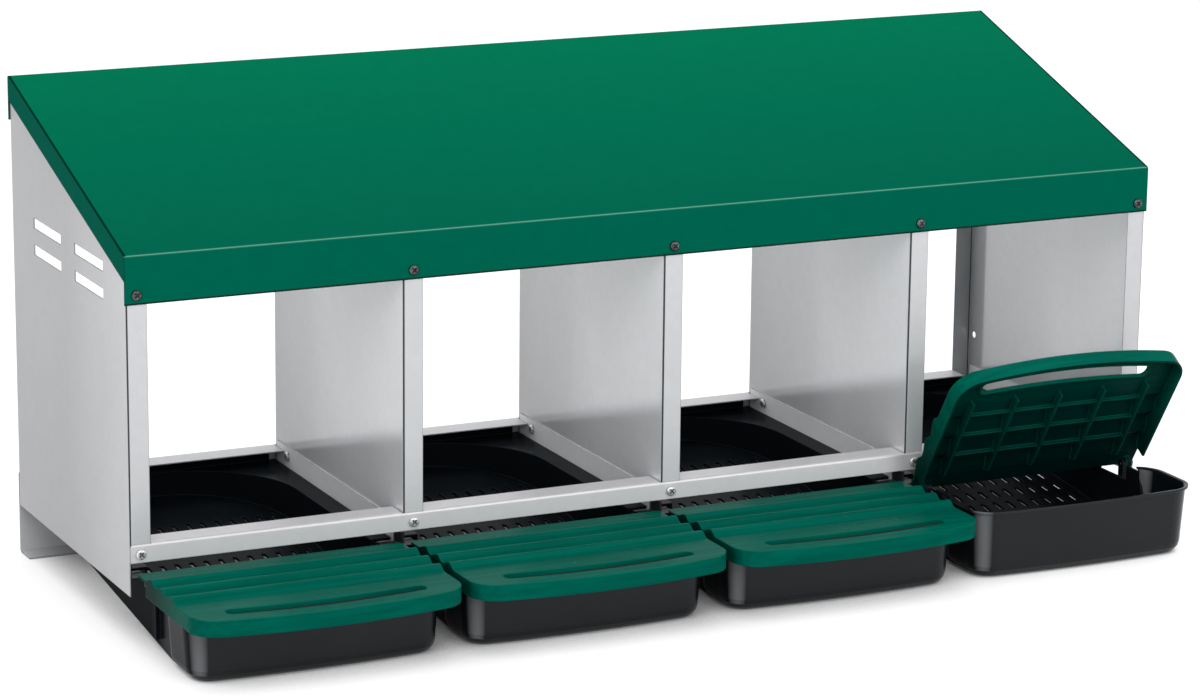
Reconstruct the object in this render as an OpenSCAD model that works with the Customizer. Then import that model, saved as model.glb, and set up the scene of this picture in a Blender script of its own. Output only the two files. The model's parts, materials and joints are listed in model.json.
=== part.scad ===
// Roll out nest box: a row of four sheet metal nests under one roof.
// Each nest has a moulded tray whose floor slopes forward, so that eggs roll
// under the front rail into an egg box with a hinged lid.
// X runs along the row, Y from front to back, Z up. Lengths are in millimetres.

/* [Frame] */
// Distance from one nest wall to the next
bay_pitch = 300; // [290:1:340]
// Depth of the walls from front to back
frame_d = 375; // [365:1:420]
// Height of the wall bottoms above the ground
wall_bottom = 54; // [46:1:62]
// Thickness of the wall and rail sheet
sheet_t = 1.2; // [0.8:0.1:1.6]
// Centre line radius of the sheet metal bends
bend_r = 2; // [1.5:0.1:3]
// Width of the flanges at the front and back of each wall
flange_w = 22; // [18:0.5:26]

/* [Roof] */
// Height of the fold between roof and fascia
roof_front_z = 409; // [390:1:440]
// Slope of the roof in degrees
roof_slope = 18; // [10:0.5:24]
// Thickness of the roof sheet
roof_t = 1.2; // [0.8:0.1:1.6]
// Height of the fascia
fascia_h = 50; // [40:1:60]
// Height of the side flanges of the roof
side_flange_h = 26; // [18:1:36]
// Height of the back flange of the roof
back_flange_h = 48; // [35:1:60]
// Gap between the roof and the walls that it covers
roof_gap = 0.3; // [0.2:0.1:0.6]

/* [Side vents] */
// Length of a vent slot
vent_l = 92; // [60:1:110]
// Height of a vent slot
vent_h = 11; // [6:0.5:16]
// Distance of the first vent column from the front
vent_y = 116; // [90:1:130]
// Distance between the vent columns
vent_pitch_y = 137; // [125:1:160]
// Height of the lower vent row
vent_z = 356; // [330:1:358]
// Distance between the vent rows
vent_pitch_z = 29; // [22:1:30]
// Radius of the fixing hole in the right side panel
fixing_hole_r = 4; // [2.5:0.1:5]
// Height of the fixing hole
fixing_hole_z = 136; // [120:1:200]
// Distance of the fixing hole from the back
fixing_hole_y = 14; // [10:1:20]

/* [Rails] */
// Height of the lower edge of the front rail
rail_z = 90; // [89:0.5:96]
// Height of the front rail
rail_h = 20; // [18:0.5:28]
// Depth of the front rail's top flange
rail_flange = 27; // [18:1:40]
// Radius of the front rail's upper end corners
rail_corner_r = 4; // [1:0.5:6]
// Height of the rear rail
rear_rail_h = 91; // [89:0.5:110]
// Depth of the rear rail's two flanges
rear_flange = 32; // [20:1:40]
// Gap between a rail's flange and the wall in its notch
notch_gap = 0.5; // [0.3:0.1:1]

/* [Tray runners] */
// Height of the upper edge of a runner
runner_top = 98; // [95:0.5:102]
// Height of the seat that carries the tray
runner_seat = 73; // [70:0.5:74]
// Thickness of a runner
runner_t = 1.2; // [0.8:0.1:1.5]
// Width of a runner's seat
runner_leg = 18; // [12:0.5:20]
// Distance of the front runner bolts from the front
runner_bolt_front = 34; // [30:1:50]
// Distance of the back runner bolts from the back
runner_bolt_back = 42; // [38:1:60]

/* [Nest tray] */
// Wall thickness of the moulded trays
tray_wall = 2.5; // [2:0.1:3]
// Thickness of the ledge that hangs on the runners
ledge_t = 3; // [2:0.1:4]
// Gap between the ledge and the runners
tray_gap = 0.7; // [0.4:0.1:1]
// Gap between the tray and the back of the frame
tray_back_gap = 7; // [6.8:0.1:10]
// Distance of the ledge's front edge from the front of the frame
ledge_front = 28; // [24:1:40]
// Height of the lip along the back of the ledge
lip_h = 11; // [5:0.5:11]
// Distance of the lip's ends from the sides of the ledge
lip_inset = 8; // [7:0.5:20]
// Distance of the nest hollow's sides from the outer edge of the egg box's rim
hollow_inset = 18.02; // [16:0.5:26]
// Flat strip between the nest hollow and the lip
bowl_margin = 2; // [1:0.5:6]
// Slope of the nest floor in degrees
floor_slope = 6.3; // [5:0.1:7]
// Height of the floor's upper side under the front rail
floor_z = 9; // [9:0.1:12]
// Thickness of the nest floor
floor_t = 3; // [2:0.1:3.5]
// Height of the side walls under the lid's hinge
neck_top = 56; // [40:1:57]
// Height of the side walls where they meet the egg box
neck_high = 72; // [60:1:73]
// Width of a floor slot
slot_w = 5; // [3:0.5:7]
// Length of a floor slot
slot_l = 22; // [14:1:26]
// Distance of the outer floor slots from the sides of the hollow
slot_side = 15.75; // [12:0.25:24]
// Distance of the first row of floor slots from the front of the frame
slot_first = 25; // [20:1:35]
// Distance of the last row of floor slots from the back of the tray
slot_back = 98; // [80:1:110]

/* [Egg box] */
// Overhang of a lid past the rim of its egg box at each side
lid_overhang = 3.98; // [3.98:0.5:9.98]
// Reach of the rim in front of the frame
box_front = 152; // [146:0.5:152.5]
// Distance of the rim's back from the front of the frame
box_back = 44; // [44:1:48]
// Height of the rim
box_h = 76.5; // [70:0.5:76.5]
// Draft of the walls, from the ground to the rim
box_taper = 5; // [2:0.5:8]
// Radius of the bowed front of the rim
box_bow_r = 1469.5; // [769.5:10:1569.5]
// Corner radius of the rim
box_corner_r = 32; // [31:0.5:40]
// Radius between the walls and the floor
box_foot_r = 12; // [8:0.5:15]
// Width of the rolled rim
rim_w = 3; // [2.5:0.1:4]
// Inside radius of the rolled rim
rim_r = 1.5; // [1.3:0.1:2]

/* [Lid] */
// Gap between neighbouring lids
lid_gap = 10; // [8:0.5:11]
// Reach of a lid in front of the frame, at the middle of its bowed edge
lid_front = 196; // [194:0.5:204]
// Distance of a lid's back edge from the front of the frame
lid_back = 4; // [3:0.5:5]
// Height of the flat top of a closed lid
lid_top = 79.5; // [79.5:0.1:80]
// Thickness of a lid's walls
lid_t = 2.5; // [2:0.1:2.5]
// Height of the skirt
skirt_h = 17; // [12:0.5:18]
// Distance of the skirt's ends from the front of the frame
skirt_back = 30; // [28:1:36]
// Radius of the bowed front edge
bow_r = 700; // [600:10:1200]
// Radius of the front corners
lid_corner_r = 30; // [24:1:36]
// Radius of the back corners
lid_back_r = 4; // [2:0.5:6]
// Height of the ridges on the lid
ridge_h = 5.5; // [3:0.5:7]
// Distance from ridge to ridge
ridge_pitch = 31; // [26:0.5:32]
// Distance of the first ridge from the front of the frame
ridge_start = 26; // [26:0.5:28]
// Width of the grip in front of the hand slot
grip_w = 20; // [16:0.5:22]
// Distance of the hand slot's back edge from the front of the frame
hand_slot_back = 157; // [156.5:0.5:159]
// Radius of the hand slot's bowed back edge
hand_slot_bow_r = 1000; // [900:10:1500]
// Distance of the hand slot's ends from the sides of the lid
hand_slot_side = 38; // [35:1:70]
// Corner radius of the hand slot
hand_slot_r = 7; // [4:0.5:7]
// Height of the wall round the hand slot
hand_slot_h = 5; // [4:0.5:12]
// Depth of the ribs under the lid
rib_h = 8; // [5:0.5:10]
// Thickness of the ribs
rib_t = 2; // [1.5:0.1:3]
// Distance of the outer ribs from the sides of the lid
rib_side = 33; // [31:1:45]
// Angle at which the fourth lid stands open
lid_open = 58; // [0:1:78]

/* [Lid hinges] */
// Distance of the hinge axis from the front of the frame
hinge_y = 12; // [11.5:0.1:12.5]
// Height of the hinge axis
hinge_z = 71; // [70:0.1:71.4]
// Radius of a hinge pin
pin_r = 2.5; // [2:0.1:3]
// Running clearance of a lid on its pins
pin_clearance = 0.08; // [0.05:0.01:0.1]
// Radius of the hinge eyes
eye_r = 5; // [4.5:0.1:5.2]
// Thickness of a hinge eye
eye_t = 5; // [4:0.1:5.5]
// Gap between the eyes of tray and lid
eye_gap = 0.8; // [0.5:0.1:1]
// Radius of a pin's head
pin_head_r = 4.2; // [3.5:0.1:4.8]
// Thickness of a pin's head
pin_head_t = 1.6; // [1:0.1:2]

/* [Fasteners] */
// Radius of a screw's shank
screw_r = 2.5; // [2:0.1:3]
// Radius of a screw's head
head_r = 5.5; // [4.5:0.1:6.5]
// Height of a screw's head
head_h = 3; // [2:0.1:4]
// Clearance round a screw in its hole
hole_gap = 0.3; // [0.2:0.1:0.5]
// Distance across the corners of a nut
nut_w = 9.2; // [8:0.1:11]
// Height of a nut
nut_h = 4; // [3:0.1:4.5]
// Length of a screw past its nut or its sheet
screw_tail = 1.5; // [1:0.1:2]
// Distance of the fascia screws from the fascia's lower edge
fascia_screw_z = 10; // [8:0.5:20]
// Distance of the back screws from the lower edge of the roof's back flange
back_screw_z = 10; // [8:0.5:20]
// Distance of the front rail bolts from the rail's lower edge
rail_bolt_z = 9; // [7:0.5:11]
// Distance of the rear rail bolts from the rail's upper edge
rear_bolt_z = 18; // [15:0.5:22]

/* [Hidden] */

$fn = 48;
bay_count = 4;
ridge_count = 3;
rib_count = 5;
slot_columns = 14;
slot_rows = 8;
vent_columns = 2;
vent_rows = 2;
// Steps that stand for a bend, a corner, the bowed edge and one ridge, and those of a swept round
bend_steps = 4;
corner_steps = 8;
bow_steps = 16;
corner_fn = 96;
bow_fn = 1080;
ridge_steps = 10;
// Room left in front of the sweep of a lid's back edge
hinge_step = 3;
// Share of a bend of the egg box that each of its two sweeps covers
bend_share = 0.6;
// Share of a ridge that rises, the rest falls steeply towards the front
ridge_rise = 0.65;
// Depth and width of the cross recess in a screw's head
recess_depth = 1.4;
recess_w = 1.2;
recess_l = 6.4;
// How far one piece of a moulding runs into the next, and how far a cut runs past its face
lap = 0.5;
over = 1;
// More than the width of any cutting block
far = 2000;

galvanised = [0.78, 0.79, 0.8];
roof_green = [0, 0.43, 0.3];
lid_green = [0, 0.47, 0.35];
tray_black = [0.13, 0.14, 0.15];
zinc = [0.7, 0.7, 0.72];

frame_w = bay_count * bay_pitch + sheet_t;
bay_clear = bay_pitch - sheet_t;
rail_top = rail_z + rail_h;
roof_tan = tan(roof_slope);
roof_half_w = frame_w / 2 + roof_gap + roof_t;
fascia_z = roof_front_z - fascia_h;
roof_back_z = roof_front_z + roof_tan * (frame_d + roof_t);
roof_drop = (roof_t / 2) / cos(roof_slope) + roof_gap;
lid_w = bay_pitch - lid_gap;
rib_pitch = (lid_w - 2 * rib_side) / (rib_count - 1);
hand_slot_l = lid_w - 2 * hand_slot_side;
box_w = lid_w - 2 * lid_overhang;
bowl_r = box_w / 2 - hollow_inset;
tray_back = frame_d - tray_back_gap;
slot_pitch = 2 * (bowl_r - slot_side) / (slot_columns - 1);
slot_row = (tray_back - slot_first - slot_back) / (slot_rows - 1);
tray_w = bay_clear - 2 * (runner_t / 2 + bend_r + tray_gap);
ledge_top = runner_seat + ledge_t;
bowl_y = tray_back - tray_wall - bowl_margin - bowl_r;
neck_out = bowl_r + tray_wall;
// The flat sill between the egg box's floor and the point where the sloping floor leaves the ground
sill_front = box_back + box_corner_r - rim_w;
sill_back = (floor_z - floor_t) / tan(floor_slope) - 4 * over;
// Where the side walls step up, in front of the sweep of the lid's back edge
neck_step = 2 * hinge_y + hinge_step;
ridge_end = ridge_start + ridge_count * ridge_pitch;
lug_x = neck_out;
ear_x = lug_x + eye_t + eye_gap;
pin_end = ear_x + eye_t + eye_gap;
// Half the depth of the whole box, from the lids to the screw heads at the back
mid_y = (frame_d + max(sheet_t, roof_t) + head_h - lid_front) / 2;

// Left face of wall i, counted from 0 at the left end
function wall_x(i) = -frame_w / 2 + i * bay_pitch;
// Middle of bay i, counted from 1
function bay_x(i) = wall_x(i - 1) + (bay_pitch + sheet_t) / 2;
// Middle of the flange of wall i, which turns inwards at the right end
function flange_x(i) = i < bay_count ? wall_x(i) + flange_w / 2 : wall_x(i) + sheet_t - flange_w / 2;
// Height of a wall's upper edge at depth y
function wall_top(y) = roof_front_z + roof_tan * (y + roof_t / 2) - roof_drop;

function turned(v, a) = [v[0] * cos(a) - v[1] * sin(a), v[0] * sin(a) + v[1] * cos(a)];
function unit(v) = v / norm(v);
function left_of(v) = [-v[1], v[0]];
function reversed(list) = [for (i = [len(list) - 1 : -1 : 0]) list[i]];
function arc(c, r, a0, a1, steps) =
    [for (k = [0 : steps]) c + r * turned([1, 0], a0 + (a1 - a0) * k / steps)];
// Angle of the turn from direction d0 to direction d1, positive to the left
function turn(d0, d1) = atan2(d0[0] * d1[1] - d0[1] * d1[0], d0 * d1);
// One rounded corner of a strip's edge that runs off to the left of the corner a, b, c
function bend_arc(a, b, c, r, off) =
    let (d0 = unit(b - a), th = turn(d0, unit(c - b)), s = sign(th),
         centre = b - r * tan(abs(th) / 2) * d0 + s * r * left_of(d0))
    [for (k = [0 : bend_steps]) centre - s * (r - s * off) * turned(left_of(d0), th * k / bend_steps)];
// One edge of a bent strip, off to the left of its centre line
function strip_edge(path, radii, off) = concat(
    [path[0] + off * left_of(unit(path[1] - path[0]))],
    [for (i = [1 : len(path) - 2]) each bend_arc(path[i - 1], path[i], path[i + 1], radii[i - 1], off)],
    [path[len(path) - 1] + off * left_of(unit(path[len(path) - 1] - path[len(path) - 2]))]);
// Outline of a bent strip of thickness t
function strip(path, radii, t) =
    concat(strip_edge(path, radii, t / 2), reversed(strip_edge(path, radii, -t / 2)));

// Outline with a bowed front edge, rounded corners and a straight back
function bowed(half_w, back, front, bow, corner, back_r) =
    let (bow_y = bow - front,
         phi = asin((half_w - corner) / (bow - corner)),
         corner_y = bow_y - (bow - corner) * cos(phi))
    concat(arc([0, bow_y], bow, -90 - phi, -90 + phi, bow_steps),
           arc([half_w - corner, corner_y], corner, -90 + phi, 0, corner_steps),
           arc([half_w - back_r, -back - back_r], back_r, 0, 90, bend_steps),
           arc([-half_w + back_r, -back - back_r], back_r, 90, 180, bend_steps),
           arc([-half_w + corner, corner_y], corner, 180, 270 - phi, corner_steps));

// Outline of a band between two bowed edges, with rounded ends
function band(half_l, front, front_bow, back, back_bow, r) =
    let (front_y = front_bow - front,
         back_y = back_bow - back,
         phi = asin((half_l - r) / (front_bow - r)),
         psi = asin((half_l - r) / (back_bow + r)),
         low_y = front_y - (front_bow - r) * cos(phi),
         high_y = back_y - (back_bow + r) * cos(psi))
    concat(arc([0, front_y], front_bow, -90 - phi, -90 + phi, bow_steps),
           arc([half_l - r, low_y], r, -90 + phi, 0, bend_steps),
           arc([half_l - r, high_y], r, 0, 90 + psi, bend_steps),
           arc([0, back_y], back_bow, -90 + psi, -90 - psi, bow_steps),
           arc([r - half_l, high_y], r, 90 - psi, 180, bend_steps),
           arc([r - half_l, low_y], r, 180, 270 - phi, bend_steps));

function smooth(u) = u * u * (3 - 2 * u);
function wave(u) = u < ridge_rise ? smooth(u / ridge_rise) : smooth((1 - u) / (1 - ridge_rise));
// Height of the lid's upper side at the distance d in front of the frame
function lid_height(d) = (d <= ridge_start || d >= ridge_end) ? lid_top
    : let (u = (d - ridge_start) / ridge_pitch) lid_top + ridge_h * wave(u - floor(u));
function ridge_line(offset) = [for (k = [0 : ridge_count * ridge_steps])
    let (d = ridge_start + k * ridge_pitch / ridge_steps) [-d, lid_height(d) + offset]];

// Moves everything so that the origin lies under the middle of the box
module place() {
    translate([0, -mid_y, 0]) children();
}

// Turns a side view, drawn with y across and z up, into a solid from x0 to x1
module side_view(x0, x1) {
    translate([x0, 0, 0]) rotate([90, 0, 90]) linear_extrude(x1 - x0) children();
}

// Turns a front view, drawn with x across and z up, into a solid from y0 to y1
module front_view(y0, y1) {
    translate([0, y1, 0]) rotate([90, 0, 0]) linear_extrude(y1 - y0) children();
}

// Screw hole along Y through the sheets that lie against the front or the back of the frame
module front_hole(x, z) {
    translate([x, -roof_t - over, z]) rotate([-90, 0, 0]) cylinder(r = screw_r + hole_gap, h = flange_w);
}

module back_hole(x, z) {
    translate([x, frame_d + roof_t + over, z]) rotate([90, 0, 0])
        cylinder(r = screw_r + hole_gap, h = flange_w);
}

// Bore along X between two faces
module bore_x(x0, x1, y, z, r) {
    translate([x0, y, z]) rotate([0, 90, 0]) cylinder(r = r, h = x1 - x0);
}

// Pan head screw with a cross recess, its shank along +Y from the origin
module screw(shank) {
    shoulder = head_h * 0.4;
    difference() {
        rotate([90, 0, 0]) rotate_extrude() polygon(concat(
            [[0, 0], [head_r, 0]],
            [for (k = [0 : bend_steps]) let (a = 90 * k / bend_steps)
                [head_r / 2 * (1 + cos(a)), shoulder + (head_h - shoulder) * sin(a)]],
            [[0, head_h]]));
        for (turn_y = [45, 135])
            rotate([0, turn_y, 0]) translate([-recess_l / 2, -head_h - over, -recess_w / 2])
                cube([recess_l, recess_depth + over, recess_w]);
    }
    translate([0, -lap, 0]) rotate([-90, 0, 0]) cylinder(r = screw_r, h = shank + lap);
}

// Hexagon nut along +Y from the origin
module nut() {
    rotate([-90, 0, 0]) difference() {
        cylinder(d = nut_w, h = nut_h, $fn = 6);
        translate([0, 0, -over]) cylinder(r = screw_r + hole_gap / 2, h = nut_h + 2 * over);
    }
}

// Wall sheet number i with flanges at its front and back, before its own holes
module wall_sheet(i) {
    left = wall_x(i);
    inner = left + sheet_t / 2;
    tip = i < bay_count ? left + flange_w : left + sheet_t - flange_w;
    front = sheet_t / 2;
    back = frame_d - sheet_t / 2;
    path = [[tip, front], [inner, front], [inner, back], [tip, back]];
    step_back = sheet_t / 2 + bend_r;
    // The upper corners stay clear of the bends of the roof
    corner = 2 * bend_r;
    difference() {
        intersection() {
            translate([0, 0, wall_bottom]) linear_extrude(roof_back_z)
                polygon(strip(path, [bend_r, bend_r], sheet_t));
            side_view(-frame_w, frame_w) polygon([[0, wall_bottom], [frame_d, wall_bottom],
                [frame_d, wall_top(frame_d) - corner], [frame_d - corner, wall_top(frame_d - corner)],
                [corner, wall_top(corner)], [0, wall_top(0) - corner]]);
        }
        // Below the rail the sheet has no flange
        translate([left - far / 2, step_back - far, rail_z - far]) cube([far, far, far]);
        front_hole(flange_x(i), fascia_z + fascia_screw_z);
        front_hole(flange_x(i), rail_z + rail_bolt_z);
        back_hole(flange_x(i), roof_back_z - back_flange_h + back_screw_z);
        back_hole(flange_x(i), rear_rail_h - rear_bolt_z);
    }
}

module vents(i) {
    for (column = [0 : vent_columns - 1], row = [0 : vent_rows - 1])
        translate([wall_x(i) + sheet_t / 2, vent_y + column * vent_pitch_y, vent_z + row * vent_pitch_z])
            cube([sheet_t + 2 * over, vent_l, vent_h], center = true);
}

module left_side_panel() {
    color(galvanised) place() difference() {
        wall_sheet(0);
        vents(0);
    }
}

module right_side_panel() {
    color(galvanised) place() difference() {
        wall_sheet(bay_count);
        vents(bay_count);
        bore_x(wall_x(bay_count) - over, wall_x(bay_count) + sheet_t + over,
               frame_d - fixing_hole_y, fixing_hole_z, fixing_hole_r);
    }
}

function runner_bolt_z() = (runner_top + ledge_top) / 2;
function runner_bolts_y() = [runner_bolt_front, frame_d - runner_bolt_back];

module divider(i) {
    color(galvanised) place() difference() {
        wall_sheet(i);
        for (y = runner_bolts_y())
            bore_x(wall_x(i) - over, wall_x(i) + sheet_t + over, y, runner_bolt_z(), screw_r + hole_gap);
    }
}

// One bent sheet: fascia, slope and back flange, with a flange down each side
module roof_panel() {
    front_y = -roof_t / 2;
    back_y = frame_d + roof_t / 2;
    path = [[front_y, fascia_z], [front_y, roof_front_z], [back_y, roof_back_z],
            [back_y, roof_back_z - back_flange_h]];
    color(roof_green) place() difference() {
        union() {
            side_view(-roof_half_w, roof_half_w) polygon(strip(path, [bend_r, bend_r], roof_t));
            for (x = [-roof_half_w, roof_half_w - roof_t])
                side_view(x, x + roof_t) polygon([
                    [front_y, roof_front_z - side_flange_h], [back_y, roof_back_z - side_flange_h],
                    [back_y, roof_back_z - bend_r], [back_y - bend_r, roof_back_z - bend_r * roof_tan],
                    [front_y + bend_r, roof_front_z + bend_r * roof_tan],
                    [front_y, roof_front_z - bend_r]]);
        }
        for (i = [0 : bay_count]) {
            front_hole(flange_x(i), fascia_z + fascia_screw_z);
            back_hole(flange_x(i), roof_back_z - back_flange_h + back_screw_z);
        }
    }
}

// Room for the flange of wall i and for the wall itself in a rail's flange
module wall_notch(i, y0, y1, z0, z1) {
    left = wall_x(i) + (i < bay_count ? -runner_t : sheet_t - flange_w) - notch_gap;
    x0 = i == 0 ? -frame_w : left;
    x1 = i < bay_count ? wall_x(i) + flange_w + notch_gap : frame_w;
    translate([x0, y0, z0]) cube([x1 - x0, y1 - y0, z1 - z0]);
}

// Angle along the front that stiffens the walls, its flange notched at each wall
module front_rail() {
    face_y = -sheet_t / 2;
    path = [[face_y, rail_z], [face_y, rail_top - sheet_t / 2], [rail_flange, rail_top - sheet_t / 2]];
    color(galvanised) place() difference() {
        side_view(-frame_w / 2, frame_w / 2) polygon(strip(path, [bend_r], sheet_t));
        for (i = [0 : bay_count]) {
            wall_notch(i, 0, frame_d, rail_z - over, rail_top + over);
            front_hole(flange_x(i), rail_z + rail_bolt_z);
        }
        for (side = [-1, 1])
            front_view(-far, far)
                translate([side * (frame_w / 2 - rail_corner_r), rail_top - rail_corner_r]) difference() {
                    translate([side > 0 ? 0 : -rail_corner_r - over, 0]) square(rail_corner_r + over);
                    circle(r = rail_corner_r);
                }
    }
}

// Channel along the back that the box stands on
module rear_rail() {
    web_y = frame_d + sheet_t / 2;
    tip_y = frame_d + sheet_t - rear_flange;
    low = sheet_t / 2;
    high = rear_rail_h - sheet_t / 2;
    path = [[tip_y, low], [web_y, low], [web_y, high], [tip_y, high]];
    color(galvanised) place() difference() {
        side_view(-frame_w / 2, frame_w / 2) polygon(strip(path, [bend_r, bend_r], sheet_t));
        for (i = [0 : bay_count]) {
            wall_notch(i, 0, frame_d, wall_bottom, rear_rail_h + over);
            back_hole(flange_x(i), rear_rail_h - rear_bolt_z);
        }
    }
}

// Angle that carries one side of a tray: side is -1 at the left of its bay and 1 at the right
module runner(i, side) {
    wall = side < 0 ? i - 1 : i;
    face = side < 0 ? wall_x(wall) + sheet_t : wall_x(wall);
    bolted = wall > 0 && wall < bay_count;
    path = [[0, runner_top], [0, runner_seat - runner_t / 2], [runner_leg, runner_seat - runner_t / 2]];
    runner_back = tray_back - notch_gap;
    runner_front = sheet_t + bend_r + notch_gap;
    color(galvanised) place() difference() {
        translate([face, 0, 0]) mirror([side < 0 ? 0 : 1, 0, 0]) translate([runner_t / 2, 0, 0])
            front_view(runner_front, runner_back) polygon(strip(path, [bend_r], runner_t));
        if (bolted)
            for (y = runner_bolts_y())
                bore_x(face - runner_leg, face + runner_leg, y, runner_bolt_z(), screw_r + hole_gap);
    }
}

// Outline of the nest hollow and of the way out of it, seen from above
module hollow(r, front) {
    translate([0, bowl_y]) circle(r = r, $fn = 96);
    translate([-r, -front]) square([2 * r, bowl_y + front]);
}

// Everything above a plane along the sloping floor, which lies at height z under the rail
module above_floor(z) {
    translate([0, 0, z]) rotate([floor_slope, 0, 0]) translate([-far / 2, -far / 2, 0]) cube(far);
}

module floor_slots() {
    for (column = [0 : slot_columns - 1], row = [0 : slot_rows - 1])
        translate([(column - (slot_columns - 1) / 2) * slot_pitch, slot_first + row * slot_row]) {
            square([slot_w, slot_l - slot_w], center = true);
            for (end = [-1, 1]) translate([0, end * (slot_l - slot_w) / 2]) circle(d = slot_w, $fn = 16);
        }
}

// Trough of the nest: a ledge, a round hollow and a slotted floor that slopes to the front
module nest_trough() {
    lip_w = tray_w - 2 * lip_inset;
    difference() {
        union() {
            difference() {
                linear_extrude(ledge_top) hollow(neck_out, sill_front);
                // Side walls of the neck, which run down into the corners of the egg box
                side_view(-far / 2, far / 2) polygon([[ledge_front, far], [ledge_front, neck_top],
                    [-neck_step, neck_top], [-neck_step, neck_high],
                    [-box_back - rim_w - box_taper, neck_high], [-sill_front, 2 * tray_wall],
                    [-far, 0], [-far, far]]);
            }
            translate([-tray_w / 2, ledge_front, runner_seat])
                cube([tray_w, tray_back - ledge_front, ledge_t]);
            translate([-lip_w / 2, tray_back - tray_wall, runner_seat])
                cube([lip_w, tray_wall, ledge_t + lip_h]);
        }
        intersection() {
            translate([0, 0, -over]) linear_extrude(ledge_top + 2 * over) hollow(bowl_r, far);
            above_floor(floor_z);
        }
        difference() {
            translate([-far / 2, -far / 2, -far]) cube([far, far, far + runner_seat - over]);
            above_floor(floor_z - floor_t);
        }
        rotate([floor_slope, 0, 0]) linear_extrude(2 * floor_z) floor_slots();
    }
}

// Section of the egg box's wall: floor, foot radius, drafted wall and rolled rim, out to 0
function box_section() =
    let (wall_top_x = -rim_w - tray_wall / 2, wall_foot_x = wall_top_x - box_taper)
    strip([[-box_corner_r + lap, tray_wall / 2], [wall_foot_x, tray_wall / 2],
           [wall_top_x, box_h - tray_wall / 2], [0, box_h - tray_wall / 2]],
          [box_foot_r, rim_r + tray_wall / 2], tray_wall);

// Section of the egg box swept about x, y from angle a0 to a1, in two sweeps that lap in the middle
module box_bend(x, y, r, a0, a1) {
    sweep = bend_share * (a1 - a0);
    translate([x, y, 0]) {
        rotate([0, 0, a0]) box_sweep(r, sweep);
        rotate([0, 0, a1]) mirror([0, 1, 0]) box_sweep(r, sweep);
    }
}

module box_sweep(r, angle) {
    rotate_extrude(angle = angle, $fn = r < box_bow_r ? corner_fn : bow_fn)
        translate([r, 0]) polygon(box_section());
}

// One straight side of the egg box, from the origin along +Y, with its rim on the +X side
module box_side(length) {
    translate([0, length, 0]) rotate([90, 0, 0]) linear_extrude(length) polygon(box_section());
}

module egg_box() {
    half = box_w / 2 - box_corner_r;
    inner_r = box_bow_r - box_corner_r;
    bow_y = box_bow_r - box_front;
    phi = asin(half / inner_r);
    front = bow_y - inner_r * cos(phi);
    back = -box_back - box_corner_r;
    for (side = [0, 1]) mirror([side, 0, 0]) {
        box_bend(half, front, box_corner_r, -90 + phi, 0);
        translate([half, back, 0]) box_sweep(box_corner_r, 90);
        translate([half + box_corner_r, front, 0]) box_side(back - front);
    }
    box_bend(0, bow_y, box_bow_r, -90 - phi, -90 + phi);
    linear_extrude(tray_wall) polygon(concat(
        arc([0, bow_y], inner_r + 2 * lap, -90 - phi, -90 + phi, bow_steps),
        [[half + 2 * lap, front], [half + 2 * lap, back + 2 * lap], [-half - 2 * lap, back + 2 * lap],
         [-half - 2 * lap, front]]));
}

// Hinge eye in a side view, its arm reaching from the axis to height z
module eye(z) {
    translate([-hinge_y, hinge_z]) circle(r = eye_r);
    translate([-hinge_y - eye_r, min(z, hinge_z)]) square([2 * eye_r, abs(z - hinge_z)]);
}

module nest_tray(i) {
    color(tray_black) place() translate([bay_x(i), 0, 0]) {
        difference() {
            union() {
                difference() {
                    egg_box();
                    translate([-bowl_r, -box_back - box_corner_r, tray_wall])
                        cube([2 * bowl_r, box_corner_r + over, box_h]);
                }
                nest_trough();
                translate([-neck_out, -sill_front - lap, 0])
                    cube([2 * neck_out, sill_front - sill_back, tray_wall]);
                for (side = [0, 1]) mirror([side, 0, 0])
                    side_view(lug_x - lap, lug_x + eye_t) eye(box_foot_r);
            }
            for (side = [0, 1]) mirror([side, 0, 0])
                bore_x(bowl_r - over, lug_x + eye_t + over, -hinge_y, hinge_z, pin_r + pin_clearance);
        }
    }
}

// Turns a closed lid open about its hinge
module opened(angle) {
    translate([0, -hinge_y, hinge_z]) rotate([-angle, 0, 0]) translate([0, hinge_y, -hinge_z]) children();
}

module lid_plan() {
    polygon(bowed(lid_w / 2, lid_back, lid_front, bow_r, lid_corner_r, lid_back_r));
}

module lid_plan_inside() {
    polygon(bowed(lid_w / 2 - lid_t, lid_back, lid_front - lid_t, bow_r - lid_t, lid_corner_r - lid_t,
                  lid_back_r));
}

// Outline of the hand slot, grown by its wall
module hand_slot(grow) {
    polygon(band(hand_slot_l / 2 + grow, lid_front - grip_w + grow, bow_r - grip_w + grow,
                 hand_slot_back - grow, hand_slot_bow_r - grow, hand_slot_r + grow));
}

// Flat top with its skirt and the wall round the hand slot
module lid_shell() {
    skirt_z = lid_top - skirt_h;
    difference() {
        translate([0, 0, skirt_z]) linear_extrude(skirt_h) lid_plan();
        difference() {
            translate([0, 0, skirt_z - over]) linear_extrude(skirt_h + over - lid_t) lid_plan_inside();
            translate([0, 0, lid_top - hand_slot_h]) linear_extrude(hand_slot_h) hand_slot(lid_t);
        }
        translate([-far / 2, -skirt_back, skirt_z - over]) cube([far, far, skirt_h + over - lid_t]);
        translate([0, 0, skirt_z - over]) linear_extrude(skirt_h + 2 * over) hand_slot(0);
        translate([-lid_w / 2 - over, -ridge_end + lap, lid_top - lid_t])
            cube([lid_w + 2 * over, ridge_end - ridge_start - 2 * lap, lid_t + over]);
    }
}

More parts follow.
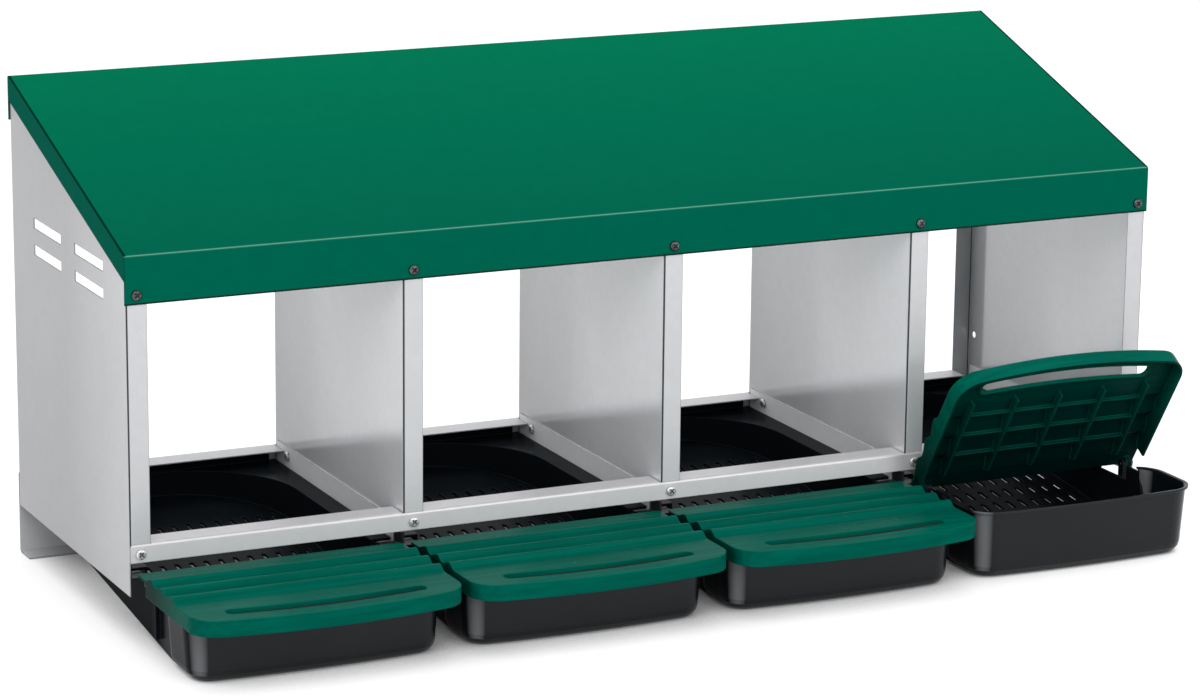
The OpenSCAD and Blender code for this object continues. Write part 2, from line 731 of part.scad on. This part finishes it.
// Sheet that rises and falls in ridges across the lid, closed by the skirt at both ends
module lid_ridges() {
    foot_z = lid_top - lid_t - lap;
    side_view(-lid_w / 2, lid_w / 2) polygon(concat(ridge_line(0), reversed(ridge_line(-lid_t))));
    for (x = [-lid_w / 2, lid_w / 2 - lid_t])
        side_view(x, x + lid_t) polygon(concat(ridge_line(0), [[-ridge_end, foot_z], [-skirt_back, foot_z],
            [-skirt_back, lid_top - lid_t], [-ridge_start, lid_top - lid_t]]));
}

// Ribs under the lid: long ones from back to front, and a cross rib between them in each valley
module lid_ribs() {
    rib_z = lid_top - lid_t - rib_h;
    rib_front = box_front - 2 * (rim_w + tray_wall);
    cross_half = rib_pitch * (rib_count - 1) / 2;
    for (k = [0 : rib_count - 1]) {
        x = (k - (rib_count - 1) / 2) * rib_pitch;
        side_view(x - rib_t / 2, x + rib_t / 2) polygon(concat(
            [[-skirt_back, rib_z], [-skirt_back + rib_h, lid_top - lid_t / 2]],
            ridge_line(-lid_t / 2),
            [[-rib_front, lid_top - lid_t / 2], [-rib_front, rib_z]]));
    }
    for (k = [1 : ridge_count])
        translate([-cross_half, -ridge_start - k * ridge_pitch - rib_t / 2, lid_top - lid_t - rib_h / 2])
            cube([2 * cross_half, rib_t, rib_h / 2 + lap]);
}

module lid(i) {
    angle = i == bay_count ? lid_open : 0;
    color(lid_green) place() translate([bay_x(i), 0, 0]) opened(angle) difference() {
        union() {
            lid_shell();
            lid_ridges();
            lid_ribs();
            for (side = [0, 1]) mirror([side, 0, 0])
                side_view(ear_x, ear_x + eye_t) eye(lid_top - lid_t / 2);
        }
        for (side = [0, 1]) mirror([side, 0, 0])
            bore_x(ear_x - over, ear_x + eye_t + over, -hinge_y, hinge_z, pin_r + pin_clearance);
    }
}

// Two headed pins, fixed in the tray, that the lid turns on
module lid_pins(i) {
    color(zinc) place() translate([bay_x(i), 0, 0]) for (side = [0, 1]) mirror([side, 0, 0]) {
        bore_x(bowl_r, pin_end + lap, -hinge_y, hinge_z, pin_r);
        bore_x(pin_end, pin_end + pin_head_t, -hinge_y, hinge_z, pin_head_r);
    }
}

module fascia_screws() {
    color(zinc) place() for (i = [0 : bay_count])
        translate([flange_x(i), -roof_t, fascia_z + fascia_screw_z]) screw(roof_t + sheet_t + screw_tail);
}

module roof_back_screws() {
    color(zinc) place() for (i = [0 : bay_count])
        translate([flange_x(i), frame_d + roof_t, roof_back_z - back_flange_h + back_screw_z])
            rotate([0, 0, 180]) screw(roof_t + sheet_t + screw_tail);
}

module front_rail_bolts() {
    color(zinc) place() for (i = [0 : bay_count])
        translate([flange_x(i), -sheet_t, rail_z + rail_bolt_z]) screw(2 * sheet_t + nut_h + screw_tail);
}

module front_rail_nuts() {
    color(zinc) place() for (i = [0 : bay_count])
        translate([flange_x(i), sheet_t, rail_z + rail_bolt_z]) nut();
}

module rear_rail_bolts() {
    color(zinc) place() for (i = [0 : bay_count])
        translate([flange_x(i), frame_d + sheet_t, rear_rail_h - rear_bolt_z])
            rotate([0, 0, 180]) screw(2 * sheet_t + nut_h + screw_tail);
}

module rear_rail_nuts() {
    color(zinc) place() for (i = [0 : bay_count])
        translate([flange_x(i), frame_d - sheet_t, rear_rail_h - rear_bolt_z]) rotate([0, 0, 180]) nut();
}

module runner_bolts() {
    color(zinc) place() for (i = [1 : bay_count - 1], y = runner_bolts_y())
        translate([wall_x(i) - runner_t, y, runner_bolt_z()])
            rotate([0, 0, -90]) screw(2 * runner_t + sheet_t + nut_h + screw_tail);
}

module runner_nuts() {
    color(zinc) place() for (i = [1 : bay_count - 1], y = runner_bolts_y())
        translate([wall_x(i) + sheet_t + runner_t, y, runner_bolt_z()]) rotate([0, 0, -90]) nut();
}

left_side_panel();
right_side_panel();
divider(1);  // divider_1
divider(2);  // divider_2
divider(3);  // divider_3
roof_panel();
front_rail();
rear_rail();
runner(1, -1);  // left_runner_1
runner(2, -1);  // left_runner_2
runner(3, -1);  // left_runner_3
runner(4, -1);  // left_runner_4
runner(1, 1);  // right_runner_1
runner(2, 1);  // right_runner_2
runner(3, 1);  // right_runner_3
runner(4, 1);  // right_runner_4
nest_tray(1);  // nest_tray_1
nest_tray(2);  // nest_tray_2
nest_tray(3);  // nest_tray_3
nest_tray(4);  // nest_tray_4
lid(1);  // lid_1
lid(2);  // lid_2
lid(3);  // lid_3
lid(4);  // lid_4
lid_pins(1);  // lid_pins_1
lid_pins(2);  // lid_pins_2
lid_pins(3);  // lid_pins_3
lid_pins(4);  // lid_pins_4
fascia_screws();
roof_back_screws();
front_rail_bolts();
front_rail_nuts();
rear_rail_bolts();
rear_rail_nuts();
runner_bolts();
runner_nuts();
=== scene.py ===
import json
import math

import bpy
from mathutils import Matrix, Vector


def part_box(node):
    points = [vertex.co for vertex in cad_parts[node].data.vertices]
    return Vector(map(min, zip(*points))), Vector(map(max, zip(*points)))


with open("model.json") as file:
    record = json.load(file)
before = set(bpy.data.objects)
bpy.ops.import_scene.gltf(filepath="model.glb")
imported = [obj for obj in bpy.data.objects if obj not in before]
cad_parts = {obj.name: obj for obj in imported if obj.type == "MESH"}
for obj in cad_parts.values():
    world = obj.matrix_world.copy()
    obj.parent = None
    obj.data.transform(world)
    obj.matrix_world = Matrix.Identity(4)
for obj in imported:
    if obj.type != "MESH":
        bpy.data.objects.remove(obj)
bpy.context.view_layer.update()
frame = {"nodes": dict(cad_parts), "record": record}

# Camera solved from the photograph: focal length in pixels of its width, angles in degrees
PHOTO_W = 1200
FOCAL_PX = 4042.5
SENSOR_MM = 36.0
YAW, PITCH, ROLL = 25.485, 13.788, 0.600
CAMERA_M = (-1.86376, -3.84375, 1.28429)
CLIP_END_M = 100.0

# Nests in the row
BAYS = range(1, 5)
# Half the width of the roof, whose slope ends in an open joint over each side flange
ROOF_HALF_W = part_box("roof_panel")[1][0]
# Front and back of the roof slope, which is painted lighter towards the back
ROOF_DEPTH = (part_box("roof_panel")[0][1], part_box("roof_panel")[1][1])
# Lower edge of the fascia
ROOF_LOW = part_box("roof_panel")[0][2]
# Back of the egg boxes, whose outside is polished more than the nest hollows behind them
BOX_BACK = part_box("front_rail")[0][1] - 0.04
# Back and lower edges of the front rail, under which the ends of walls and runners
# get painted shade
RAIL_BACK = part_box("front_rail")[1][1]
RAIL_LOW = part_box("front_rail")[0][2]
# Heights between which painted light makes the walls lighter
WALL_HEIGHT = (0.11, 0.36)
# Depths between which painted light makes the left panel's outside, and the walls inside,
# lighter to the front
OUTSIDE_DEPTH = (0.10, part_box("left_side_panel")[0][1])
INSIDE_DEPTH = (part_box("left_side_panel")[1][1], 0.06)
# Hinge line of the lids
HINGE = tuple((low + high) / 2 for low, high in zip(*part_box("lid_pins_1")))
# Way that the underside of a shut lid faces, and of the lid that stands open
OPEN_ANGLE = math.radians(58.0)
UNDER_SHUT = (0.0, 0.0, -1.0)
UNDER_OPEN = (0.0, -math.sin(OPEN_ANGLE), -math.cos(OPEN_ANGLE))


# Node graphs

WHITE = (1.0, 1.0, 1.0)
OFF_ON = (0.0, 1.0)
# Range that most of a noise lies in
NOISE_MID = (0.3, 0.7)
# Sockets of a Mix node for colours, which share their names with those for other data
MIX_A, MIX_B, MIX_RESULT = 6, 7, 2
# Cosine between the softened and the true normal, from the flat to an edge
EDGE_TURN = (0.99, 0.85)
EDGE_SAMPLES = 6
# Share of the light that reaches a point, from an open face to a groove
RECESS_LIGHT = (0.95, 0.45)
RECESS_SAMPLES = 8


class Graph:
    """A node tree, emptied, and the node patterns that the materials share."""

    def __init__(self, tree):
        self.nodes, self.links = tree.nodes, tree.links
        self.nodes.clear()

    def node(self, kind, **settings):
        n = self.nodes.new("ShaderNode" + kind)
        for name, value in settings.items():
            setattr(n, name, value)
        return n

    def put(self, value, socket):
        """Link an output to a socket, or give the socket a number, vector or colour."""
        if isinstance(value, bpy.types.NodeSocket):
            self.links.new(value, socket)
        else:
            socket.default_value = value

    def place(self):
        """The place on the piece."""
        return self.node("TexCoord").outputs["Object"]

    def normal(self):
        """The way that the face looks, as the piece stands."""
        return self.node("NewGeometry").outputs["Normal"]

    def axes(self, vector):
        n = self.node("SeparateXYZ")
        self.put(vector, n.inputs[0])
        return n.outputs

    def stretched(self, vector, scale):
        n = self.node("Mapping")
        self.put(vector, n.inputs["Vector"])
        self.put(scale, n.inputs["Scale"])
        return n.outputs["Vector"]

    def noise(self, vector, scale, detail=3.0, rough=0.5):
        n = self.node("TexNoise")
        self.put(vector, n.inputs["Vector"])
        self.put(scale, n.inputs["Scale"])
        self.put(detail, n.inputs["Detail"])
        self.put(rough, n.inputs["Roughness"])
        return n.outputs["Fac"]

    def span(self, value, given, wanted=OFF_ON):
        """The value, moved from the given range to the wanted one and held inside it."""
        n = self.node("MapRange")
        self.put(value, n.inputs["Value"])
        for end, number in zip(("From Min", "From Max", "To Min", "To Max"), (*given, *wanted)):
            self.put(number, n.inputs[end])
        return n.outputs["Result"]

    def ramp(self, value, low, high, given=NOISE_MID):
        """A colour from low to high as the value goes through the given range."""
        n = self.node("ValToRGB")
        self.put(value, n.inputs["Fac"])
        for stop, position, colour in zip(n.color_ramp.elements, given, (low, high)):
            stop.position = position
            stop.color = (*colour, 1.0)
        return n.outputs["Color"]

    def mix(self, kind, factor, colour, other):
        n = self.node("Mix", data_type="RGBA", blend_type=kind)
        self.put(factor, n.inputs["Factor"])
        self.put(colour, n.inputs[MIX_A])
        self.put((*other, 1.0) if isinstance(other, tuple) else other, n.inputs[MIX_B])
        return n.outputs[MIX_RESULT]

    def cover(self, colour, mask, other):
        """The colour, covered by the other one as far as the mask goes."""
        return self.mix("MIX", mask, colour, other)

    def tint(self, colour, mask, other):
        """The colour, multiplied by the other one as far as the mask goes."""
        return self.mix("MULTIPLY", mask, colour, other)

    def calc(self, operation, first, second=0.0):
        n = self.node("Math", operation=operation)
        self.put(first, n.inputs[0])
        self.put(second, n.inputs[1])
        return n.outputs[0]

    def scaled(self, colour, gain):
        n = self.node("VectorMath", operation="SCALE")
        self.put(colour, n.inputs[0])
        self.put(gain, n.inputs["Scale"])
        return n.outputs["Vector"]

    def dot(self, first, second):
        n = self.node("VectorMath", operation="DOT_PRODUCT")
        self.put(first, n.inputs[0])
        self.put(second, n.inputs[1])
        return n.outputs["Value"]

    def distance_from_axis(self, vector, point):
        """Distance from the line through the point along X."""
        arm = self.node("VectorMath", operation="SUBTRACT")
        self.put(vector, arm.inputs[0])
        self.put(point, arm.inputs[1])
        length = self.node("VectorMath", operation="LENGTH")
        self.put(self.stretched(arm.outputs["Vector"], (0.0, 1.0, 1.0)), length.inputs[0])
        return length.outputs["Value"]

    def edges(self, radius, strength):
        """A mask, up to strength along edges and 0 on the flat, and the softened normal."""
        soft = self.node("Bevel", samples=EDGE_SAMPLES)
        self.put(radius, soft.inputs["Radius"])
        turn = self.dot(soft.outputs["Normal"], self.normal())
        return self.span(turn, EDGE_TURN, (0.0, strength)), soft.outputs["Normal"]

    def bends(self, first, second, given, strength):
        """Up to strength where a face turns from one axis to the other."""
        both = self.calc("ABSOLUTE", self.calc("MULTIPLY", first, second))
        return self.span(both, given, (0.0, strength))

    def open_light(self, reach):
        """1 where nothing within reach stands over the face, down to 0 in closed corners."""
        n = self.node("AmbientOcclusion", samples=RECESS_SAMPLES)
        self.put(reach, n.inputs["Distance"])
        return n.outputs["AO"]

    def recess(self, reach, strength):
        """A mask for painted shade, up to strength in corners and grooves, and 0 on open faces.
        """
        return self.span(self.open_light(reach), RECESS_LIGHT, (0.0, strength))

    def bump(self, height, strength, distance, normal):
        n = self.node("Bump")
        self.put(height, n.inputs["Height"])
        self.put(strength, n.inputs["Strength"])
        self.put(distance, n.inputs["Distance"])
        self.put(normal, n.inputs["Normal"])
        return n.outputs["Normal"]

    def seen_rays(self):
        """1 for the rays that see the background: camera, glossy and transmission rays."""
        path = self.node("LightPath")
        seen = path.outputs["Is Camera Ray"]
        for kind in ("Is Glossy Ray", "Is Transmission Ray"):
            seen = self.calc("MAXIMUM", seen, path.outputs[kind])
        return seen


def new_material(name):
    """A material, its graph and the sockets of its shader."""
    m = bpy.data.materials.new(name)
    m.use_nodes = True
    g = Graph(m.node_tree)
    shader = g.node("BsdfPrincipled")
    g.put(shader.outputs["BSDF"], g.node("OutputMaterial").inputs["Surface"])
    return m, g, shader.inputs


# Galvanised sheet

SPANGLE_SCALE = 110.0
SPANGLE_GREY = (0.96, 0.96, 0.96)
SHEET_IOR = 1.2
# Painted shade along edges and on bends
SHEET_EDGE = (0.10, 0.10, 0.105)
SHEET_BEND = (0.03, 0.03, 0.032)
# Painted shade under the front rail
SHEET_SHADE = (0.016, 0.017, 0.018)
# X of the normals of faces that look to the left, from hardly to wholly
LOOKS_LEFT = (-0.6, -0.9)
# Most that painted light makes a face lighter by, so that no colour goes over white
MOST_GAIN = 0.42


def galvanised(name, dark, light, start=0.0, lift=0.0, painted_sheen=0.0, depth=OUTSIDE_DEPTH, rail_shade=0.0,
               metal=0.35, shine=0.0):
    """Satin galvanised sheet: faint spangle, fine rolling lines, painted shade on edges and
    bends.

    Faces that look to the left get painted light: lighter by start, by up to lift more to the top
    and by up to a painted sheen more along the depth, and smoother by shine. The ends under the
    front rail get painted shade.
    """
    m, g, shader = new_material(name)
    v = g.place()
    place, turn = g.axes(v), g.axes(g.normal())
    cell = g.node("TexVoronoi")
    g.put(v, cell.inputs["Vector"])
    g.put(SPANGLE_SCALE, cell.inputs["Scale"])
    grey = g.node("RGBToBW")
    g.put(cell.outputs["Color"], grey.inputs["Color"])
    sheet = g.ramp(g.noise(v, scale=5.0, detail=4.0), dark, light)
    sheet = g.tint(sheet, 1.0, g.ramp(grey.outputs["Val"], SPANGLE_GREY, WHITE, OFF_ON))

    # Painted light: faces that look to the left lighter to the top and to the front
    left = g.span(turn["X"], LOOKS_LEFT)
    rise = g.span(place["Z"], WALL_HEIGHT, (start, start + lift))
    near = g.span(place["Y"], depth, (0.0, painted_sheen))
    gain = g.calc("MINIMUM", g.calc("ADD", rise, near), MOST_GAIN)
    gain = g.calc("MULTIPLY", left, gain)
    sheet = g.scaled(sheet, g.calc("ADD", gain, 1.0))

    # Painted shade along the edges and on the bends between walls and posts
    painted_edge, soft = g.edges(radius=0.0013, strength=0.75)
    sheet = g.cover(sheet, painted_edge, SHEET_EDGE)
    bend = g.bends(turn["X"], turn["Y"], given=(0.32, 0.42), strength=0.95)
    sheet = g.cover(sheet, bend, SHEET_BEND)
    # Painted shade on the ends of walls and runners under the front rail
    below = g.span(place["Z"], (RAIL_LOW, RAIL_LOW - 0.003), (0.0, rail_shade))
    behind = g.span(place["Y"], (RAIL_BACK, RAIL_BACK - 0.004))
    sheet = g.cover(sheet, g.calc("MULTIPLY", below, behind), SHEET_SHADE)
    g.put(sheet, shader["Base Color"])

    rough = g.span(g.noise(v, scale=14.0), NOISE_MID, (0.36, 0.40))
    rough = g.calc("SUBTRACT", rough, g.calc("MULTIPLY", left, shine))
    g.put(rough, shader["Roughness"])
    g.put(metal, shader["Metallic"])
    g.put(SHEET_IOR, shader["IOR"])
    lines = g.noise(g.stretched(v, (1.0, 1.0, 60.0)), scale=30.0, detail=2.0)
    g.put(g.bump(lines, strength=0.05, distance=0.0004, normal=soft), shader["Normal"])
    return m


# Painted roof

PAINT_IOR = 1.02
PAINT_DARK, PAINT_LIGHT = (0.0, 0.145, 0.077), (0.0, 0.152, 0.081)
# Painted light: tints of the slope at its front and back, of upright faces and of the ends
SLOPE_FRONT, SLOPE_BACK = (1.0, 0.74, 0.80), (1.0, 1.0, 0.90)
UPRIGHT_TINT = (1.0, 0.92, 1.05)
END_TINT = (1.0, 0.92, 1.0)
# Painted shade along edges
PAINT_EDGE = (0.0, 0.016, 0.012)
# Painted highlight on the fold
PAINT_BEND = (0.22, 0.52, 0.42)
PAINT_RIM = (0.0, 0.018, 0.012)
FASCIA_LOW_LINE = (0.012, 0.014, 0.012)


def roof_paint():
    """Green coil coated sheet: slight cloudiness and the orange peel of sprayed paint.

    Painted light and shade on faces, edges and the fold.
    """
    m, g, shader = new_material("green_paint")
    v = g.place()
    place, turn = g.axes(v), g.axes(g.normal())
    paint = g.ramp(g.noise(v, scale=60.0, detail=4.0), PAINT_DARK, PAINT_LIGHT)
    # Painted light: the ends, the upright faces and the front of the slope darker
    slope = g.span(turn["Z"], (0.7, 0.9))
    end = g.span(g.calc("ABSOLUTE", turn["X"]), (0.6, 0.9))
    paint = g.tint(paint, end, END_TINT)
    paint = g.tint(paint, g.calc("SUBTRACT", 1.0, slope), UPRIGHT_TINT)
    depth = g.span(place["Y"], ROOF_DEPTH)
    paint = g.tint(paint, slope, g.ramp(depth, SLOPE_FRONT, SLOPE_BACK, OFF_ON))

    # Painted shade along the edges
    painted_edge, soft = g.edges(radius=0.0016, strength=0.9)
    paint = g.cover(paint, painted_edge, PAINT_EDGE)
    # Darker along the lower edge of the fascia
    lower = g.span(place["Z"], (ROOF_LOW + 0.0024, ROOF_LOW + 0.0014), (0.0, 0.85))
    paint = g.cover(paint, lower, FASCIA_LOW_LINE)
    # Painted highlight, a pale line on the fold between fascia and slope
    bend = g.bends(turn["Y"], turn["Z"], given=(0.38, 0.47), strength=0.6)
    paint = g.cover(paint, bend, PAINT_BEND)
    rim = (ROOF_HALF_W - 0.0030, ROOF_HALF_W - 0.0018)
    rim = g.span(g.calc("ABSOLUTE", place["X"]), rim, (0.0, 0.9))
    rim = g.calc("MULTIPLY", rim, g.span(turn["Z"], (0.5, 0.8)))
    g.put(g.cover(paint, rim, PAINT_RIM), shader["Base Color"])

    rough = g.span(g.noise(v, scale=40.0), NOISE_MID, (0.40, 0.46))
    g.put(rough, shader["Roughness"])
    g.put(PAINT_IOR, shader["IOR"])
    peel = g.noise(v, scale=650.0, detail=2.0)
    g.put(g.bump(peel, strength=0.06, distance=0.0003, normal=soft), shader["Normal"])
    return m


# Lids

LID_IOR = 1.05
LID_DARK, LID_LIGHT = (0.0, 0.112, 0.078), (0.0, 0.123, 0.087)
# Painted shade on the underside, and beside it near the hinge
LID_UNDER = (0.0, 0.012, 0.011)
# Painted shade in the grooves
LID_GROOVE = (0.0, 0.03, 0.024)
# Painted highlight along edges
LID_EDGE = (0.01, 0.21, 0.14)


def lid_plastic(name, under):
    """Moulded green plastic with a fine spark eroded grain, painted shade below and near the
    hinge.
    """
    m, g, shader = new_material(name)
    v = g.place()
    plastic = g.ramp(g.noise(v, scale=12.0, detail=4.0), LID_DARK, LID_LIGHT)
    # Painted reflection: streaks along the ridges, lighter and darker
    streak = g.noise(g.stretched(v, (5.0, 150.0, 150.0)), scale=1.0, rough=0.6)
    plastic = g.scaled(plastic, g.span(streak, (0.35, 0.65), (0.82, 1.10)))

    # Painted shade on the underside, deepest near the hinge
    facing = g.dot(g.node("TexCoord").outputs["Normal"], under)
    from_hinge = g.distance_from_axis(v, HINGE)
    below = g.span(facing, (0.4, 0.8))
    below = g.calc("MULTIPLY", below, g.span(from_hinge, (0.03, 0.14), (1.0, 0.74)))
    plastic = g.cover(plastic, below, LID_UNDER)
    # Painted shade on the sides near the hinge
    beside = g.span(facing, (-0.3, 0.0))
    beside = g.calc("MULTIPLY", beside, g.span(from_hinge, (0.04, 0.12), (0.85, 0.0)))
    plastic = g.cover(plastic, beside, LID_UNDER)
    # Painted shade in the grooves between the ridges
    plastic = g.cover(plastic, g.recess(reach=0.02, strength=0.75), LID_GROOVE)
    # Painted highlight along the edges
    painted_edge, soft = g.edges(radius=0.0022, strength=0.35)
    g.put(g.cover(plastic, painted_edge, LID_EDGE), shader["Base Color"])

    rough = g.span(g.noise(v, scale=40.0), NOISE_MID, (0.20, 0.28))
    g.put(rough, shader["Roughness"])
    g.put(LID_IOR, shader["IOR"])
    grain = g.noise(v, scale=1500.0, detail=2.0)
    g.put(g.bump(grain, strength=0.10, distance=0.0003, normal=soft), shader["Normal"])
    return m


# Trays

TRAY_DARK, TRAY_LIGHT = (0.0055, 0.0078, 0.0100), (0.0075, 0.0102, 0.0130)
# Painted highlight along edges
TRAY_EDGE = (0.06, 0.066, 0.072)
# Painted highlight on the corners of the egg box
TRAY_CORNER_HIGHLIGHT = (0.20, 0.21, 0.22)


def tray_plastic():
    """Moulded charcoal plastic, satin, with fine grain and a painted highlight on egg box
    corners.
    """
    m, g, shader = new_material("black_plastic")
    v = g.place()
    place, turn = g.axes(v), g.axes(g.normal())
    plastic = g.ramp(g.noise(v, scale=10.0, detail=4.0), TRAY_DARK, TRAY_LIGHT)
    # Painted highlight along the edges
    painted_edge, soft = g.edges(radius=0.0018, strength=0.35)
    plastic = g.cover(plastic, painted_edge, TRAY_EDGE)
    # Painted highlight on the left front and right back corners of the egg box
    corner = g.calc("MULTIPLY", turn["X"], turn["Y"])
    corner = g.span(corner, (0.34, 0.50), (0.0, 0.85))
    front = g.span(place["Y"], (BOX_BACK, BOX_BACK - 0.02))
    corner_highlight = g.calc("MULTIPLY", corner, front)
    g.put(g.cover(plastic, corner_highlight, TRAY_CORNER_HIGHLIGHT), shader["Base Color"])

    rough = g.span(g.noise(v, scale=25.0), NOISE_MID, (0.22, 0.27))
    g.put(rough, shader["Roughness"])
    polish = g.span(place["Y"], (BOX_BACK, BOX_BACK + 0.03), (0.22, 0.02))
    dull = g.span(turn["X"], (-0.9, -0.6), (0.15, 1.0))
    g.put(g.calc("MULTIPLY", polish, dull), shader["Specular IOR Level"])
    grain = g.noise(v, scale=1300.0, detail=2.0)
    g.put(g.bump(grain, strength=0.05, distance=0.0003, normal=soft), shader["Normal"])
    return m


# Screws, bolts, nuts and pins

# Painted shade along edges and in recesses
ZINC_EDGE = (0.03, 0.03, 0.032)
ZINC_RECESS_SHADE = (0.02, 0.02, 0.022)


def zinc_plate(name, dark, light, metal):
    """Zinc plate, a little cloudy, with painted shade on edges and in the recesses."""
    m, g, shader = new_material(name)
    v = g.place()
    cloud = g.noise(v, scale=160.0)
    # Painted shade along the edges and in the recesses
    painted_edge, soft = g.edges(radius=0.0009, strength=0.9)
    zinc = g.cover(g.ramp(cloud, dark, light), painted_edge, ZINC_EDGE)
    zinc = g.cover(zinc, g.recess(reach=0.003, strength=0.9), ZINC_RECESS_SHADE)
    g.put(zinc, shader["Base Color"])
    rough = g.span(g.noise(v, scale=300.0, detail=2.0), NOISE_MID, (0.22, 0.32))
    g.put(rough, shader["Roughness"])
    g.put(metal, shader["Metallic"])
    g.put(g.bump(cloud, strength=0.05, distance=0.0002, normal=soft), shader["Normal"])
    return m


# Materials by slot of the record, and those of single nodes

# Walls, with painted light up the walls and a painted sheen to the front
WALL = {"dark": (0.66, 0.665, 0.685), "light": (0.69, 0.695, 0.715), "start": -0.22, "lift": 0.30,
        "painted_sheen": 0.58, "depth": INSIDE_DEPTH, "metal": 0.22, "shine": 0.25}
MATERIALS = {
    "galvanised_sheet": galvanised("galvanised_sheet", **WALL, rail_shade=0.95),
    "green_paint": roof_paint(),
    "green_plastic": lid_plastic("green_plastic", UNDER_SHUT),
    "black_plastic": tray_plastic(),
    "zinc": zinc_plate("zinc", dark=(0.66, 0.66, 0.67), light=(0.78, 0.78, 0.79), metal=0.6),
}
# Runners: a lighter copy of the galvanised sheet as painted light, with painted shade under the
# front rail
RUNNER = galvanised("galvanised_painted_bright", dark=(0.92, 0.925, 0.93), light=(0.95, 0.955, 0.96),
                    rail_shade=1.0, metal=0.0)
DARK_ZINC = zinc_plate("zinc_dark", dark=(0.035, 0.035, 0.038), light=(0.15, 0.15, 0.155),
                       metal=1.0)
OWN = {
    # The left panel's outside has its own copy, with its own painted light to the front
    "left_side_panel": galvanised("galvanised_outside", dark=(0.63, 0.635, 0.655),
                                  light=(0.66, 0.665, 0.685), start=-0.30, lift=0.10, painted_sheen=0.24),
    "right_side_panel": galvanised("galvanised_end", **WALL),
    "front_rail": galvanised("galvanised_rail", dark=(0.78, 0.765, 0.79),
                             light=(0.81, 0.795, 0.82)),
    # The open lid's own copy, so that its painted shade falls on its underside
    "lid_4": lid_plastic("green_plastic_open", UNDER_OPEN),
    "fascia_screws": DARK_ZINC,
}
for bay in BAYS:
    OWN[f"left_runner_{bay}"] = RUNNER
    OWN[f"right_runner_{bay}"] = RUNNER
    OWN[f"lid_pins_{bay}"] = DARK_ZINC
slot_of = {s["node"]: s["material_slot"] for s in frame["record"]["subparts"]}
for name, obj in frame["nodes"].items():
    obj.data.materials.clear()
    obj.data.materials.append(OWN.get(name, MATERIALS[slot_of[name]]))


# Floor, which glows white to the rays that see the background, and less under the part

FLOOR_SIZE_M = 60.0
FLOOR_Z = -0.0005
FLOOR_GREY = (0.42, 0.42, 0.42, 1.0)
FLOOR_GLOW = 0.74
SHADOW_REACH_M = 0.2
SHADOW_LIGHT = (0.08, 0.55)


def pale_floor():
    m = bpy.data.materials.new("pale_floor")
    m.use_nodes = True
    g = Graph(m.node_tree)
    diffuse, glow, both = g.node("BsdfDiffuse"), g.node("Emission"), g.node("AddShader")
    g.put(FLOOR_GREY, diffuse.inputs["Color"])
    # Painted shadow: the glow is dimmed where the part stands over the floor
    light = g.span(g.open_light(SHADOW_REACH_M), SHADOW_LIGHT, (0.0, FLOOR_GLOW))
    g.put(g.calc("MULTIPLY", g.seen_rays(), light), glow.inputs["Strength"])
    g.put(diffuse.outputs[0], both.inputs[0])
    g.put(glow.outputs[0], both.inputs[1])
    g.put(both.outputs[0], g.node("OutputMaterial").inputs["Surface"])
    return m


bpy.ops.mesh.primitive_plane_add(size=FLOOR_SIZE_M, location=(0.0, 0.0, FLOOR_Z))
floor = bpy.context.active_object
floor.name = "floor"
floor.data.materials.append(pale_floor())


# World, white to the rays that see the background and a little dimmer as light

WORLD_LIGHT, WORLD_SEEN = 0.80, 1.0

world = bpy.data.worlds.new("studio")
bpy.context.scene.world = world
world.use_nodes = True
sky = Graph(world.node_tree)
background = sky.node("Background")
sky.put((*WHITE, 1.0), background.inputs["Color"])
strength = sky.span(sky.seen_rays(), OFF_ON, (WORLD_LIGHT, WORLD_SEEN))
sky.put(strength, background.inputs["Strength"])
sky.put(background.outputs[0], sky.node("OutputWorld").inputs["Surface"])


# Lights

def area_light(name, place, target, width, height, watts):
    data = bpy.data.lights.new(name, "AREA")
    data.shape = "RECTANGLE"
    data.size = width
    data.size_y = height
    data.energy = watts
    obj = bpy.data.objects.new(name, data)
    bpy.context.scene.collection.objects.link(obj)
    obj.location = place
    obj.rotation_euler = (Vector(target) - Vector(place)).to_track_quat("-Z", "Y").to_euler()


area_light("key", place=(-1.8, -3.6, 3.4), target=(0.0, 0.0, 0.2), width=2.6, height=2.6,
           watts=54.0)
area_light("top", place=(0.3, 1.1, 2.6), target=(0.0, 0.1, 0.3), width=3.0, height=1.2,
           watts=24.0)
area_light("fill", place=(1.8, -3.8, 0.9), target=(0.2, 0.0, 0.2), width=1.8, height=1.4,
           watts=26.0)
area_light("strip", place=(-3.2, -2.5, 0.45), target=(-0.3, -0.2, 0.1), width=0.22, height=0.9,
           watts=8.0)


# Camera

yaw, pitch, roll = (math.radians(a) for a in (YAW, PITCH, ROLL))
forward = Vector((math.sin(yaw) * math.cos(pitch), math.cos(yaw) * math.cos(pitch),
                  -math.sin(pitch)))
level = Vector((math.cos(yaw), -math.sin(yaw), 0.0))
upright = level.cross(forward)
right = level * math.cos(roll) + upright * math.sin(roll)
up = upright * math.cos(roll) - level * math.sin(roll)
cam_data = bpy.data.cameras.new("camera")
cam_data.sensor_fit = "HORIZONTAL"
cam_data.sensor_width = SENSOR_MM
cam_data.lens = FOCAL_PX / PHOTO_W * SENSOR_MM
cam_data.clip_end = CLIP_END_M
cam = bpy.data.objects.new("camera", cam_data)
bpy.context.scene.collection.objects.link(cam)
attitude = Matrix((right, up, -forward)).transposed().to_4x4()
cam.matrix_world = Matrix.Translation(Vector(CAMERA_M)) @ attitude
bpy.context.scene.camera = cam

bpy.context.scene.view_settings.view_transform = "Standard"
